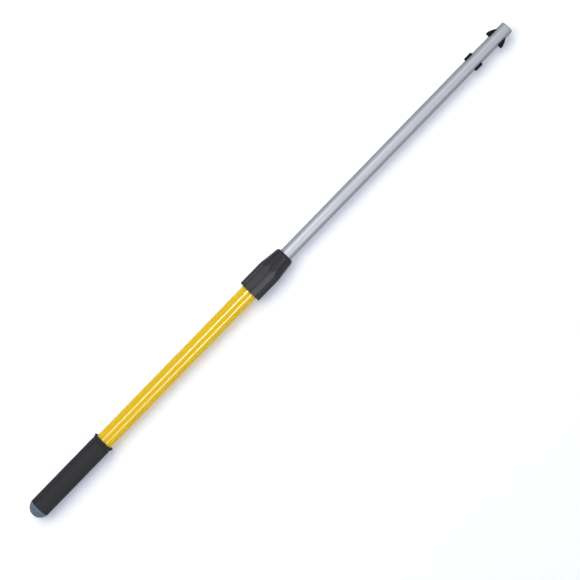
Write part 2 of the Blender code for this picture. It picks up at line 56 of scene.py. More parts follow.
# Places from the CAD solids: the pole lies along X, and its axis is this high above the floor
TUBE_LOW, TUBE_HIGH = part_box("inner_tube")
AXIS_Z = (TUBE_LOW.z + TUBE_HIGH.z) / 2
HANDLE_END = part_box("end_cap")[0].x
TIP = TUBE_HIGH.x

SIDES = ((1, "left"), (-1, "right"))
ROUND_SIDES = 144
SMALL_SIDES = 40
SMOOTH_ANGLE = radians(32)
EDGE = 0.25 * MM
MERGE_DISTANCE = 1e-7


def span(node):
    """First X, last X and outer radius of a turned CAD node."""
    low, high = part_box(node)
    return low.x, high.x, (high.z - low.z) / 2


def from_tip(distance):
    """X of a place this far back from the tip."""
    return TIP - distance


def add_object(name, data):
    """A new object in the scene."""
    added = bpy.data.objects.new(name, data)
    bpy.context.collection.objects.link(added)
    return added


# ---------------------------------------------------------------- camera, lights and floor

CAMERA_LENS = 133
CAMERA_HEIGHT = 3.01
CAMERA_OFFSET = Vector((0.0002, -0.0389, 0))
CAMERA_ROLL = radians(-45.80)


def make_camera():
    """Camera high above the pole with a long lens, looking straight down and turned about its view."""
    camera = add_object("camera", bpy.data.cameras.new("camera"))
    camera.data.lens = CAMERA_LENS
    camera.data.sensor_width = 36
    camera.data.clip_end = 50
    camera.location = CAMERA_OFFSET + Vector((0, 0, AXIS_Z + CAMERA_HEIGHT))
    camera.rotation_euler = (0, 0, CAMERA_ROLL)
    bpy.context.scene.camera = camera


# Name, place, size and watts of each soft light, and name, Y, Z and watts of each strip light
SOFT_LIGHTS = (
    ("key", (-0.1, 1.40, 2.46), (3.4, 2.1), 76),
    ("fill", (-0.1, -1.50, 0.95), (2.4, 1.5), 21),
)
STRIP_LIGHTS = (("strip_left", 0.81, 1.83, 65), ("strip_right", -1.34, 1.49, 50))
STRIP_X = -0.05
STRIP_SIZE = (1.8, 0.36)
STRIP_END_SHARE = 0.05
STRIP_TIP_FADE = 0.81


def add_softbox(name, place, size, power, aim=(0, 0, 0)):
    """A rectangular light whose long side lies along the pole, aimed at a point."""
    light = bpy.data.lights.new(name, "AREA")
    light.shape = "RECTANGLE"
    light.size, light.size_y = size
    light.energy = power
    lamp = add_object(name, light)
    back = (Vector(place) - Vector(aim)).normalized()
    along = Vector((1, 0, 0))
    across = back.cross(along).normalized()
    along = across.cross(back).normalized()
    lamp.matrix_world = Matrix.Translation(place) @ Matrix((along, across, back)).transposed().to_4x4()
    lamp.visible_camera = False
    return lamp


def brighter_middle(light):
    """Makes a long light fade towards its ends, as a real softbox does, and sooner at the pole's tip."""
    light.use_nodes = True
    tree = light.node_tree
    geometry = tree.nodes.new("ShaderNodeNewGeometry")
    parts = tree.nodes.new("ShaderNodeSeparateXYZ")
    tree.links.new(geometry.outputs["Parametric"], parts.inputs["Vector"])
    fade = tree.nodes.new("ShaderNodeValToRGB")
    fade.color_ramp.interpolation = "EASE"
    stops = fade.color_ramp.elements
    middle = stops.new(0.5)
    middle.color = (1, 1, 1, 1)
    for stop in (stops[0], stops[-1]):
        stop.color = (STRIP_END_SHARE, STRIP_END_SHARE, STRIP_END_SHARE, 1)
    stops[-1].position = STRIP_TIP_FADE
    tree.links.new(parts.outputs["X"], fade.inputs["Fac"])
    tree.links.new(fade.outputs["Color"], tree.nodes["Emission"].inputs["Strength"])


def make_lights():
    """A wide soft key makes the shadow, a fill lights the other side, two strips draw lines in gloss."""
    soft_lights = {}
    for name, place, size, power in SOFT_LIGHTS:
        soft_lights[name] = add_softbox(name, place, size, power)
        soft_lights[name].visible_glossy = False
    for name, y, z, power in STRIP_LIGHTS:
        strip = add_softbox(name, (STRIP_X, y, z), STRIP_SIZE, power, aim=(STRIP_X, 0, 0))
        strip.visible_diffuse = False
        brighter_middle(strip.data)
    return soft_lights["fill"]


def as_share(tree, part):
    """A part of a direction, which runs from -1 to 1, as a share from 0 to 1."""
    share = tree.nodes.new("ShaderNodeMapRange")
    share.inputs["From Min"].default_value = -1
    tree.links.new(part, share.inputs["Value"])
    return share.outputs["Result"]


def make_world():
    """The studio's walls: brightest near the horizon, dim overhead, brighter beyond the pole's left."""
    world = bpy.data.worlds.new("studio")
    world.use_nodes = True
    tree = world.node_tree
    background = tree.nodes["Background"]
    coordinates = tree.nodes.new("ShaderNodeTexCoord")
    parts = tree.nodes.new("ShaderNodeSeparateXYZ")
    tree.links.new(coordinates.outputs["Generated"], parts.inputs["Vector"])
    height = as_share(tree, parts.outputs["Z"])
    low, horizon, overhead = (0.46, 0.47, 0.495), (0.48, 0.49, 0.52), (0.17, 0.175, 0.19)
    sky = ramp(tree, height, background.inputs["Color"], low, overhead, 0.42, 0.8)
    sky.color_ramp.elements.new(0.5).color = (*horizon, 1)
    leftward = as_share(tree, parts.outputs["Y"])
    ramp(tree, leftward, background.inputs["Strength"], 0.72, 1.3, 0.0, 1.0)
    bpy.context.scene.world = world
    bpy.context.scene.view_settings.view_transform = "Standard"


FLOOR_HALF_SIZE = 6
FLOOR_GAP = 0.2 * MM
FLOOR_GLOW = (0.92, 0.97, 1.12, 1)
FLOOR_GLOW_STRENGTH = 0.345


def make_floor(fill):
    """Pale paper with a weak glow, left out of glossy reflections and of the fill's light."""
    bm = bmesh.new()
    bmesh.ops.create_grid(bm, x_segments=1, y_segments=1, size=FLOOR_HALF_SIZE)
    bmesh.ops.translate(bm, vec=(0, 0, -FLOOR_GAP), verts=bm.verts)
    mesh = bpy.data.meshes.new("floor")
    bm.to_mesh(mesh)
    bm.free()
    floor = add_object("floor", mesh)
    material, tree, shader = new_material("floor_paper")
    shader.inputs["Roughness"].default_value = 0.9
    shader.inputs["Specular IOR Level"].default_value = 0.1
    shader.inputs["Emission Color"].default_value = FLOOR_GLOW
    shader.inputs["Emission Strength"].default_value = FLOOR_GLOW_STRENGTH
    tone = noise(tree, (3, 3, 3), detail=2)
    ramp(tree, tone, shader.inputs["Base Color"], (0.93, 0.93, 0.94), (0.955, 0.955, 0.96))
    mesh.materials.append(material)
    floor.visible_glossy = False
    unlit = bpy.data.collections.new("unlit_by_fill")
    unlit.objects.link(floor)
    unlit.collection_objects[0].light_linking.link_state = "EXCLUDE"
    fill.light_linking.receiver_collection = unlit


# ---------------------------------------------------------------- material nodes


def new_material(name):
    """A material, its node tree and its shader."""
    material = bpy.data.materials.new(name)
    material.use_nodes = True
    tree = material.node_tree
    return material, tree, tree.nodes["Principled BSDF"]


def noise(tree, scale, detail=3.0, roughness=0.55, kind="NOISE"):
    """A noise's value over object coordinates; scale is cycles per metre along X, Y and Z."""
    coordinates = tree.nodes.new("ShaderNodeTexCoord")
    mapping = tree.nodes.new("ShaderNodeMapping")
    mapping.inputs["Scale"].default_value = scale
    tree.links.new(coordinates.outputs["Object"], mapping.inputs["Vector"])
    if kind == "VORONOI":
        texture = tree.nodes.new("ShaderNodeTexVoronoi")
        output = texture.outputs["Distance"]
    else:
        texture = tree.nodes.new("ShaderNodeTexNoise")
        texture.inputs["Detail"].default_value = detail
        texture.inputs["Roughness"].default_value = roughness
        output = texture.outputs["Fac"]
    texture.inputs["Scale"].default_value = 1
    tree.links.new(mapping.outputs["Vector"], texture.inputs["Vector"])
    return output


def ramp(tree, value, socket, low, high, start=0.3, end=0.7):
    """Colours or numbers from low to high as a value goes from start to end, for a socket if given."""
    node = tree.nodes.new("ShaderNodeValToRGB")
    stops = node.color_ramp.elements
    for stop, position, tone in zip(stops, (start, end), (low, high)):
        stop.position = position
        stop.color = (*tone, 1) if isinstance(tone, tuple) else (tone, tone, tone, 1)
    tree.links.new(value, node.inputs["Fac"])
    if socket:
        tree.links.new(node.outputs["Color"], socket)
    return node


def mix(tree, factor, low, high):
    """A colour mixed from two by a factor. Each of the three is an output or a constant."""
    node = tree.nodes.new("ShaderNodeMix")
    node.data_type = "RGBA"
    sockets = (node.inputs["Factor"], node.inputs[6], node.inputs[7])
    for socket, given in zip(sockets, (factor, low, high)):
        if isinstance(given, bpy.types.NodeSocket):
            tree.links.new(given, socket)
        elif isinstance(given, tuple):
            socket.default_value = (*given, 1)
        else:
            socket.default_value = given
    return node.outputs[2]


def bump(tree, shader, layers):
    """Bump from (height output, strength, distance in metres) layers, one on another."""
    normal = None
    for height, strength, distance in layers:
        node = tree.nodes.new("ShaderNodeBump")
        node.inputs["Strength"].default_value = strength
        node.inputs["Distance"].default_value = distance
        tree.links.new(height, node.inputs["Height"])
        if normal:
            tree.links.new(normal, node.inputs["Normal"])
        normal = node.outputs["Normal"]
    tree.links.new(normal, shader.inputs["Normal"])


def edge_mask(tree, low, high):
    """Near 1 on convex edges, where handling polishes or chips a surface."""
    geometry = tree.nodes.new("ShaderNodeNewGeometry")
    limits = tree.nodes.new("ShaderNodeMapRange")
    limits.inputs["From Min"].default_value = low
    limits.inputs["From Max"].default_value = high
    tree.links.new(geometry.outputs["Pointiness"], limits.inputs["Value"])
    return limits.outputs["Result"]


def yellow_paint():
    """Gloss powder coat: a faint orange peel under a clear gloss, with small rubs along the tube."""
    material, tree, shader = new_material("yellow_gloss_paint")
    drift = noise(tree, (14, 60, 60), detail=3)
    ramp(tree, drift, shader.inputs["Base Color"], (0.70, 0.445, 0.001), (0.76, 0.51, 0.003))
    rubs = noise(tree, (60, 700, 700), detail=4)
    ramp(tree, rubs, shader.inputs["Roughness"], 0.22, 0.27, 0.4, 0.75)
    shader.inputs["Specular IOR Level"].default_value = 0.3
    shader.inputs["Coat Weight"].default_value = 0.25
    shader.inputs["Coat Roughness"].default_value = 0.12
    peel = noise(tree, (420, 420, 420), detail=1.5)
    grains = noise(tree, (2600, 2600, 2600), detail=1)
    bump(tree, shader, [(peel, 0.04, 0.00005), (grains, 0.04, 0.00001)])
    return material


def satin_aluminium():
    """Drawn and anodised tube: fine die lines along it, cloudy satin, a few brighter scratches."""
    material, tree, shader = new_material("satin_aluminium")
    shader.inputs["Metallic"].default_value = 0.92
    lines = noise(tree, (9, 1500, 1500), detail=4, roughness=0.6)
    clouds = noise(tree, (22, 90, 90), detail=3)
    base = mix(tree, clouds, (0.452, 0.468, 0.50), (0.49, 0.506, 0.543))
    scratches = noise(tree, (30, 2600, 2600), detail=2, roughness=0.4)
    scratched = ramp(tree, scratches, None, 0.0, 0.3, 0.62, 0.74)
    colour = mix(tree, scratched.outputs["Color"], base, (0.60, 0.61, 0.63))
    tree.links.new(colour, shader.inputs["Base Color"])
    ramp(tree, lines, shader.inputs["Roughness"], 0.54, 0.70)
    bump(tree, shader, [(lines, 0.16, 0.00003)])
    return material


def grip_rubber():
    """Matte rubber: fine moulded grain, soft waves and patches of faint dust."""
    material, tree, shader = new_material("grip_rubber")
    grain = noise(tree, (1500, 1500, 1500), kind="VORONOI")
    dust = noise(tree, (45, 160, 160), detail=5, roughness=0.65)
    ramp(tree, dust, shader.inputs["Base Color"], (0.0135, 0.0128, 0.0165), (0.0205, 0.0196, 0.0245))
    ramp(tree, dust, shader.inputs["Roughness"], 0.58, 0.72)
    shader.inputs["Specular IOR Level"].default_value = 0.25
    shader.inputs["Sheen Weight"].default_value = 0.03
    shader.inputs["Sheen Roughness"].default_value = 0.5
    waves = noise(tree, (260, 260, 260), detail=2)
    bump(tree, shader, [(grain, 0.45, 0.00018), (waves, 0.10, 0.00025)])
    return material


def moulded_plastic(name, dark, light, roughness, grain_strength=0.18, worn=None, specular=0.45):
    """Textured moulding: spark-eroded grain, slow tone drift, a paler line where edges are rubbed."""
    material, tree, shader = new_material(name)
    drift = noise(tree, (60, 90, 90), detail=4)
    tone = mix(tree, drift, dark, light)
    if worn:
        tone = mix(tree, edge_mask(tree, 0.515, 0.60), tone, worn)
    tree.links.new(tone, shader.inputs["Base Color"])
    speckle = noise(tree, (700, 700, 700), detail=3)
    ramp(tree, speckle, shader.inputs["Roughness"], roughness - 0.06, roughness + 0.07)
    shader.inputs["Specular IOR Level"].default_value = specular
    grain = noise(tree, (1100, 1100, 1100), detail=2, roughness=0.5)
    waves = noise(tree, (150, 150, 150), detail=1)
    bump(tree, shader, [(grain, grain_strength, 0.00018), (waves, 0.06, 0.0003)])
    return material


def bright_steel():
    """Zinc-bright steel for rivets, pins, clip and spring."""
    material, tree, shader = new_material("bright_steel")
    shader.inputs["Metallic"].default_value = 1.0
    haze = noise(tree, (400, 400, 400), detail=4)
    ramp(tree, haze, shader.inputs["Base Color"], (0.50, 0.50, 0.51), (0.64, 0.64, 0.66))
    ramp(tree, haze, shader.inputs["Roughness"], 0.22, 0.38)
    lines = noise(tree, (2500, 2500, 300), detail=2)
    bump(tree, shader, [(lines, 0.08, 0.00003)])
    return material


def natural_nylon():
    """Milky bearing nylon, slightly translucent."""
    material, tree, shader = new_material("natural_nylon")
    drift = noise(tree, (150, 150, 150), detail=3)
    ramp(tree, drift, shader.inputs["Base Color"], (0.60, 0.585, 0.53), (0.70, 0.69, 0.64))
    ramp(tree, drift, shader.inputs["Roughness"], 0.36, 0.5)
    shader.inputs["Subsurface Weight"].default_value = 0.15
    shader.inputs["Subsurface Radius"].default_value = (0.002, 0.0018, 0.0014)
    grain = noise(tree, (1600, 1600, 1600), detail=1)
    bump(tree, shader, [(grain, 0.1, 0.00005)])
    return material


# ---------------------------------------------------------------- mesh helpers


def dress(piece, material, body, slot, *nodes):
    """Gives a piece its material, hangs it on the body it rides on and hides the CAD nodes it stands
    for.
    """
    piece.data.materials.clear()
    piece.data.materials.append(material)
    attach(piece, body)
    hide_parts(*nodes)


def to_object(name, bm, angle=SMOOTH_ANGLE):
    """Makes a finished bmesh into an object, smooth except at edges sharper than the angle."""
    bmesh.ops.remove_doubles(bm, verts=bm.verts, dist=MERGE_DISTANCE)
    bmesh.ops.recalc_face_normals(bm, faces=bm.faces)
    mesh = bpy.data.meshes.new(name)
    bm.to_mesh(mesh)
    bm.free()
    mesh.shade_smooth()
    mesh.set_sharp_from_angle(angle=angle)
    return add_object(name, mesh)


def combine(piece, others, operation, angle=SMOOTH_ANGLE):
    """Boolean with each of the others, applied; the others are removed."""
    for other in others:
        modifier = piece.modifiers.new(other.name, "BOOLEAN")
        modifier.operation = operation
        modifier.object = other
    bake_modifiers(piece, angle)
    for other in others:
        bpy.data.objects.remove(other, do_unlink=True)


def bake_modifiers(piece, angle=SMOOTH_ANGLE):
    """Replaces a piece's mesh by what its modifiers make of it."""
    evaluated = piece.evaluated_get(bpy.context.evaluated_depsgraph_get())
    mesh = bpy.data.meshes.new_from_object(evaluated)
    piece.modifiers.clear()
    piece.data = mesh
    mesh.shade_smooth()
    mesh.set_sharp_from_angle(angle=angle)


SOFT_TURN = radians(25)
MOST_OF_SIDE = 0.42
ROUNDING_STEPS = 4


def soften(outline, radius, closed=True):
    """Rounds an outline's corners of (x, r) points: not faint ones nor, if closed, ones on the axis."""
    softened = []
    count = len(outline)
    for i, point in enumerate(outline):
        before, after = outline[i - 1], outline[(i + 1) % count]
        to_before = (before[0] - point[0], before[1] - point[1])
        to_after = (after[0] - point[0], after[1] - point[1])
        back, ahead = hypot(*to_before), hypot(*to_after)
        cosine = (to_before[0] * to_after[0] + to_before[1] * to_after[1]) / (back * ahead)
        turn = pi - acos(max(-1, min(1, cosine)))
        on_axis = closed and point[1] < MERGE_DISTANCE
        if on_axis or turn < SOFT_TURN:
            softened.append(point)
            continue
        reach = min(radius, MOST_OF_SIDE * back, MOST_OF_SIDE * ahead)
        first = (point[0] + to_before[0] / back * reach, point[1] + to_before[1] / back * reach)
        last = (point[0] + to_after[0] / ahead * reach, point[1] + to_after[1] / ahead * reach)
        for step in range(ROUNDING_STEPS + 1):
            t = step / ROUNDING_STEPS
            weights = ((1 - t) ** 2, 2 * t * (1 - t), t * t)
            corner = (first, point, last)
            softened.append(tuple(sum(w * p[k] for w, p in zip(weights, corner)) for k in (0, 1)))
    return softened


def bridge(bm, loops):
    """Quads from each loop of vertices to the next."""
    for low, high in zip(loops, loops[1:]):
        for i, vertex in enumerate(low):
            beside = (i + 1) % len(low)
            bm.faces.new((vertex, low[beside], high[beside], high[i]))


def cap_ends(bm, loops):
    """A face over the first loop of vertices and one over the last."""
    bm.faces.new(loops[0])
    bm.faces.new(list(reversed(loops[-1])))


def rounded_corners():
    """The X side, Y side and turn of each point on a rounded rectangle's four corners, in order."""
    for x_side, y_side, first in ((1, 1, 0), (-1, 1, 90), (-1, -1, 180), (1, -1, 270)):
        for step in range(7):
            yield x_side, y_side, radians(first + 15 * step)


def turned(name, outline):
    """A solid of revolution about the pole's axis from a closed outline of (x, radius) points."""
    bm = bmesh.new()
    points = [bm.verts.new((x, 0, AXIS_Z + r)) for x, r in outline]
    edges = [bm.edges.new((a, b)) for a, b in zip(points, points[1:] + points[:1])]
    bmesh.ops.spin(bm, geom=points + edges, cent=(0, 0, AXIS_Z), axis=(1, 0, 0), angle=tau,
                   steps=ROUND_SIDES, use_merge=True)
    return to_object(name, bm)


def ring(name, start, end, inside, outside, edge=EDGE, extra=()):
    """A turned ring with rounded edges; extra is a list of X where its walls get one more loop."""
    outline = [(start, inside), (start, outside)]
    outline += [(x, outside) for x in extra] + [(end, outside), (end, inside)]
    outline += [(x, inside) for x in reversed(extra)]
    return turned(name, soften(outline, edge))


def rod(name, start, end, radius, edge=0.0):
    """A round rod between two points given from the pole's axis, with rounded ends if edge is set."""
    start, end = Vector(start), Vector(end)
    length = (end - start).length
    outline = [(0, 0), (0, radius), (length, radius), (length, 0)]
    if edge:
        outline = soften(outline, edge)
    bm = bmesh.new()
    points = [bm.verts.new((r, 0, z)) for z, r in outline]
    edges = [bm.edges.new((a, b)) for a, b in zip(points, points[1:])]
    bmesh.ops.spin(bm, geom=points + edges, cent=(0, 0, 0), axis=(0, 0, 1), angle=tau,
                   steps=SMALL_SIDES, use_merge=True)
    facing = (end - start).to_track_quat("Z", "Y").to_matrix()
    bmesh.ops.rotate(bm, cent=(0, 0, 0), matrix=facing, verts=bm.verts)
    bmesh.ops.translate(bm, vec=start + Vector((0, 0, AXIS_Z)), verts=bm.verts)
    return to_object(name, bm)


def plate(name, outline, half_width):
    """An outline in XY made into a plate along Z."""
    bm = bmesh.new()
    loops = [[bm.verts.new((x, y, AXIS_Z + z)) for x, y in outline] for z in (-half_width, half_width)]
    cap_ends(bm, loops)
    bridge(bm, loops)
    return to_object(name, bm)


def stations(start, end, parts):
    """X of the places that divide a length into equal parts, without its ends."""
    return [start + (end - start) * i / parts for i in range(1, parts)]


def arc(centre, radius, first, last, count):
    """Points (x, r) along an arc about a point on the axis; angles are from the handle's direction."""
    step = (last - first) / (count - 1)
    turns = [first + step * i for i in range(count)]
    return [(centre - radius * cos(a), radius * sin(a)) for a in turns]


# ---------------------------------------------------------------- handle

# Radii and lengths within the pieces; where each one starts and ends comes from its CAD box
GRIP_RADIUS = 15.15 * MM
GRIP_BORE = 12.95 * MM
TUBE_BORE = 11.5 * MM
RUNNING_BORE = 9.875 * MM

CAP_LENGTH = 13.1 * MM
CAP_RIM = 1.3 * MM
STEM_START = 14.4 * MM
STEM_FLOOR = 17 * MM
STEM_WALL = 1.8 * MM
FIRST_RIB = 5 * MM
RIB_PITCH = 6 * MM
RIB_HEIGHT = 0.35 * MM
RIB_COUNT = 3

FLARE_LENGTH = 8.4 * MM
FLARE_POWER = 2.6
FLARE_STEPS = 32
LIP_THICKNESS = 0.7 * MM
GROOVE_FROM_END = 6.3 * MM
GROOVE_HALF_WIDTH = 1.7 * MM
GROOVE_DEPTH = 0.7 * MM

CORE_SKIRT_BORE = 13.05 * MM
CORE_SKIRT_LENGTH = 16 * MM
CORE_RADIUS = 12.0 * MM
CLIP_GROOVE_DEPTH = 0.8 * MM
CLIP_GAP = 6.4 * MM
SHOE_ANGLES = [tau * i / 3 for i in range(3)]
SHOE_HALF_WIDTH = 4.0 * MM
SHOE_MARGIN = 0.4 * MM
HOLE_CLEARANCE = 0.3 * MM


def make_end_cap(material):
    """Domed plug with a narrow rim beside the grip, and a hollow stem with gripping ribs in the tube."""
    start, end, _ = span("end_cap")
    rim_start = CAP_LENGTH - CAP_RIM
    rim_angle = acos(1 - rim_start / GRIP_RADIUS)
    dome = arc(start + GRIP_RADIUS, GRIP_RADIUS, 0, rim_angle, 26)
    groove_x, groove_r = dome[-1]
    rim_radius = GRIP_RADIUS * sin(acos(1 - CAP_LENGTH / GRIP_RADIUS))
    cap_end = start + CAP_LENGTH
    rim = [
        (groove_x + 0.15 * MM, groove_r - 0.22 * MM),
        (groove_x + 0.35 * MM, groove_r - 0.18 * MM),
        (groove_x + 0.50 * MM, groove_r + 0.16 * MM),
        (cap_end - 0.35 * MM, rim_radius + 0.04 * MM),
        (cap_end, rim_radius - 0.30 * MM),
    ]
    neck = GRIP_BORE - 0.35 * MM
    rib_top = TUBE_BORE - 0.40 * MM
    stem = rib_top - RIB_HEIGHT
    bore = rib_top - STEM_WALL
    ribs = []
    for i in range(RIB_COUNT):
        rib = start + STEM_START + FIRST_RIB + RIB_PITCH * i
        ribs += [(rib, stem), (rib + 0.2 * MM, rib_top)]
        ribs += [(rib + 1.0 * MM, rib_top), (rib + 2.6 * MM, stem)]
    body = [
        (cap_end, neck),
        (start + STEM_START, neck),
        (start + STEM_START, stem),
        *ribs,
        (end - 1.5 * MM, stem),
        (end, rib_top - 0.9 * MM),
        (end, bore),
        (start + STEM_FLOOR, bore),
        (start + STEM_FLOOR, 0),
    ]
    cap = turned("end_cap_moulding", [*dome, *rim, *body])
    dress(cap, material, "handle", "cap_plastic", "end_cap")


def make_grip(material):
    """Rubber sleeve: rounded at the cap, with a groove before the thin curled lip at its other end."""
    start, end, lip_radius = span("grip_sleeve")
    rim_angle = acos(1 - (start - HANDLE_END) / GRIP_RADIUS)
    round_end = arc(HANDLE_END + GRIP_RADIUS, GRIP_RADIUS, rim_angle, pi / 2, 12)
    flare_start = end - FLARE_LENGTH
    lip_edge = end - LIP_THICKNESS
    straight = [(x, GRIP_RADIUS) for x in (*stations(round_end[-1][0], flare_start, 12), flare_start)]
    flare = []
    for i in range(1, FLARE_STEPS + 1):
        t = i / FLARE_STEPS
        x = flare_start + (lip_edge - flare_start) * t
        from_groove = abs(x - end + GROOVE_FROM_END) / GROOVE_HALF_WIDTH
        hollow = GROOVE_DEPTH * cos(from_groove * pi / 2) ** 2 if from_groove < 1 else 0
        flare.append((x, GRIP_RADIUS + (lip_radius - GRIP_RADIUS) * t**FLARE_POWER - hollow))
    lip = [
        (end - 0.25 * MM, lip_radius + 0.02 * MM),
        (end, lip_radius - 0.30 * MM),
        (end - 0.10 * MM, lip_radius - 0.75 * MM),
        (end - 1.2 * MM, GRIP_RADIUS - 0.4 * MM),
        (end - 1.9 * MM, GRIP_RADIUS - 1.2 * MM),
        (end - 2.1 * MM, GRIP_BORE),
    ]
    inside = [(start, GRIP_BORE)]
    first = [(start, round_end[0][1] - 0.25 * MM)]
    grip = turned("grip_moulding", [*first, *round_end, *straight, *flare, *lip, *inside])
    dress(grip, material, "handle", "grip_rubber", "grip_sleeve")


def side_rod(name, node, side, radius, edge):
    """A rod where a CAD rivet on one side of the pole is, from its inner to its outer end."""
    low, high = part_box(node)
    x = (low.x + high.x) / 2
    inner, outer = sorted((abs(low.y), abs(high.y)))
    return rod(name, (x, side * inner, 0), (x, side * outer, 0), radius, edge)


def rivet_drill(name, node):
    """A drill for the holes of a CAD rivet and of its pair on the other side."""
    low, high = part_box(node)
    x = (low.x + high.x) / 2
    radius = (high.x - low.x) / 2 + HOLE_CLEARANCE
    return rod(name, (x, -20 * MM, 0), (x, 20 * MM, 0), radius)


def make_outer_tube(material):
    """Painted tube with rounded ends."""
    start, end, radius = span("outer_tube")
    tube = ring("painted_tube", start, end, TUBE_BORE, radius, extra=stations(start, end, 40))
    combine(tube, [rivet_drill("tube_rivet_hole", "core_rivet_left")], "DIFFERENCE")
    dress(tube, material, "handle", "yellow_paint", "outer_tube")


def make_guide_bush(material):
    """Front bearing of the inner tube."""
    start, end, radius = span("guide_bush")
    bush = ring("guide_bush_ring", start, end, RUNNING_BORE, radius, 0.5 * MM)
    combine(bush, [rivet_drill("bush_rivet_hole", "core_rivet_left")], "DIFFERENCE")
    dress(bush, material, "handle", "nylon", "guide_bush")


def turn_about_axis(piece, angle):
    """Turns a piece's mesh about the pole's axis."""
    to_axis = Matrix.Translation((0, 0, AXIS_Z))
    piece.data.transform(to_axis @ Matrix.Rotation(angle, 4, "X") @ to_axis.inverted())
    return piece


def rounded_block(name, x_range, half_y, z_range, corner):
    """A block with rounded vertical corners, which cuts windows and slots."""
    middle_x, half_x = sum(x_range) / 2, (x_range[1] - x_range[0]) / 2
    outline = []
    for x_side, y_side, turn in rounded_corners():
        x = middle_x + x_side * (half_x - corner) + corner * cos(turn)
        y = y_side * (half_y - corner) + corner * sin(turn)
        outline.append((x, y))
    bm = bmesh.new()
    loops = [[bm.verts.new((x, y, AXIS_Z + z)) for x, y in outline] for z in z_range]
    cap_ends(bm, loops)
    bridge(bm, loops)
    return to_object(name, bm)


def make_lock_core(material):
    """Sleeve on the tube's end, with a window for each shoe and a groove for the clip."""
    start, end, skirt = span("lock_core")
    clip_start, clip_end, _ = span("retaining_clip")
    shoulder = start + CORE_SKIRT_LENGTH
    tube_end = span("outer_tube")[1] + 0.3 * MM
    groove = CORE_RADIUS - CLIP_GROOVE_DEPTH
    groove_start, groove_end = clip_start - 0.3 * MM, clip_end + 0.3 * MM
    outline = [
        (start, CORE_SKIRT_BORE),
        (start, skirt),
        (shoulder, skirt),
        (shoulder, CORE_RADIUS),
        (groove_start, CORE_RADIUS),
        (groove_start, groove),
        (groove_end, groove),
        (groove_end, CORE_RADIUS),
        (end, CORE_RADIUS),
        (end, RUNNING_BORE),
        (tube_end, RUNNING_BORE),
        (tube_end, CORE_SKIRT_BORE),
    ]
    core = turned("lock_core_sleeve", soften(outline, EDGE))
    low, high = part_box("lock_shoe_1")
    cutters = []
    for number, angle in enumerate(SHOE_ANGLES, 1):
        window = rounded_block(f"core_window_{number}", (low.x - SHOE_MARGIN, high.x + SHOE_MARGIN),
                               SHOE_HALF_WIDTH + SHOE_MARGIN, (2 * MM, 20 * MM), 0.6 * MM)
        cutters.append(turn_about_axis(window, angle))
    cutters.append(rivet_drill("core_rivet_hole", "core_rivet_left"))
    combine(core, cutters, "DIFFERENCE")
    dress(core, material, "handle", "core_plastic", "lock_core")


def make_core_rivets(material):
    """Flush rivets with a low dome on their heads."""
    for side, name in SIDES:
        node = f"core_rivet_{name}"
        low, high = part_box(node)
        rivet = side_rod(f"{node}_pin", node, side, (high.x - low.x) / 2, 0.35 * MM)
        dress(rivet, material, "handle", "steel", node)


def make_retaining_clip(material):
    """Open spring ring with rounded edges."""
    start, end, radius = span("retaining_clip")
    outside = AXIS_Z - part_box("retaining_clip")[0].z
    clip = ring("clip_ring", start, end, CORE_RADIUS - 0.5 * MM, outside, 0.3 * MM)
    x_range = (start - MM, end + MM)
    opening = rounded_block("clip_opening", x_range, CLIP_GAP / 2, (0, 2 * radius), 0.3 * MM)
    combine(clip, [opening], "DIFFERENCE")
    dress(clip, material, "handle", "steel", "retaining_clip")


# ---------------------------------------------------------------- twist lock

# Places are from the handle's rounded end, and shares are of the half pitch between two flutes
FLUTES = 9
HALF_PITCH = 180 / FLUTES
TAPER_START = 477 * MM
TAPER_END = 503 * MM
NOSE_RADIUS = 14.8 * MM
MOUTH_RADIUS = 10.3 * MM
RIDGE_RADIUS = 17.9 * MM
FLUTE_SHARE = 0.30
SCALLOP_SHARE = 0.92
OPENING_LENGTH = 10 * MM
FLUTE_DEPTH = 1.0 * MM
SCALLOP_DEPTH = 1.2 * MM
EDGE_ROUNDING = 0.10
COLLAR_RIM = 438.7 * MM

TAPER_BEND = 0.1
RIM_FADE = 3 * MM
RIM_EDGE = 1.1 * MM
CUP_BORE = 14.5 * MM
HOLLOW_MARKS = (0, 0.18, 0.35, 0.5, 0.64, 0.76, 0.86, 0.94)
PAD_MARKS = (0, 0.06, 0.14, 0.26, 0.42, 0.6, 0.8, 1)

# Angles in degrees; the slope is in metres of radius per degree
CAM_RADIUS = 13.2 * MM
CAM_PITCH = 120
CAM_SLOPE = 0.5 * MM / 60
LOBE_LOW_ANGLE = 24.0
LOBE_HIGH_ANGLE = -84.0

SHOE_STEPS = 24
SHOE_CHAMFER = 0.35 * MM
SHOE_END_SHARE = 0.93


def clamp(value):
    """The value kept between 0 and 1."""
    return min(1.0, max(0.0, value))


def smooth(value):
    """A step from 0 to 1 with soft ends."""
    value = clamp(value)
    return value * value * (3 - 2 * value)


def cam_radius(angle):
    """The cam's radius at an angle from straight up, in degrees: three spirals joined by ramps."""
    local = (angle - LOBE_HIGH_ANGLE) % CAM_PITCH + LOBE_HIGH_ANGLE
    if local <= LOBE_LOW_ANGLE:
        return CAM_RADIUS - CAM_SLOPE * local
    share = (local - LOBE_LOW_ANGLE) / (LOBE_HIGH_ANGLE + CAM_PITCH - LOBE_LOW_ANGLE)
    return CAM_RADIUS - CAM_SLOPE * (LOBE_LOW_ANGLE + (LOBE_HIGH_ANGLE - LOBE_LOW_ANGLE) * share)


